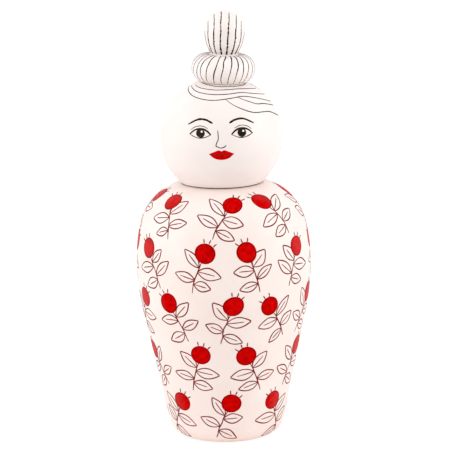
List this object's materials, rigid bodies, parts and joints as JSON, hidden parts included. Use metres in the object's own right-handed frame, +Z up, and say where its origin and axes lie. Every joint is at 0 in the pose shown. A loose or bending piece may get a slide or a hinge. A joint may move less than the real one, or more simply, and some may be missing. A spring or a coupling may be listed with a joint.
{
  "type": "lidded face vase",
  "caption": "Glazed ceramic vase shaped like a figure: a shouldered vessel, a hollow head as its lid, and a topknot that caps a neck in the crown. Holds flowers with lids on or off.",
  "frame": {"origin": "middle of the foot ring, on the surface that the vase stands on", "axes": "+Z up along the vessel's axis; the face looks along -Y; +X is the viewer's right"},
  "size_m": [0.174, 0.174, 0.4285],
  "materials": {
    "white_glaze": "warm white satin glaze",
    "red_enamel": "brushed red overglaze colour",
    "line_enamel": "fine brushed dark brown overglaze line"
  },
  "bodies": {
    "vessel": {"vase_body": "white_glaze"},
    "head": {"head_lid": "white_glaze"},
    "topknot": {"topknot": "white_glaze"}
  },
  "joints": [
    {"name": "head_lift", "type": "slide", "parent": "vessel", "child": "head", "axis": [0, 0, 1], "range_m": [0, 0.15]},
    {"name": "topknot_lift", "type": "slide", "parent": "head", "child": "topknot", "axis": [0.0506, 0, 0.9987], "range_m": [0, 0.1]}
  ]
}
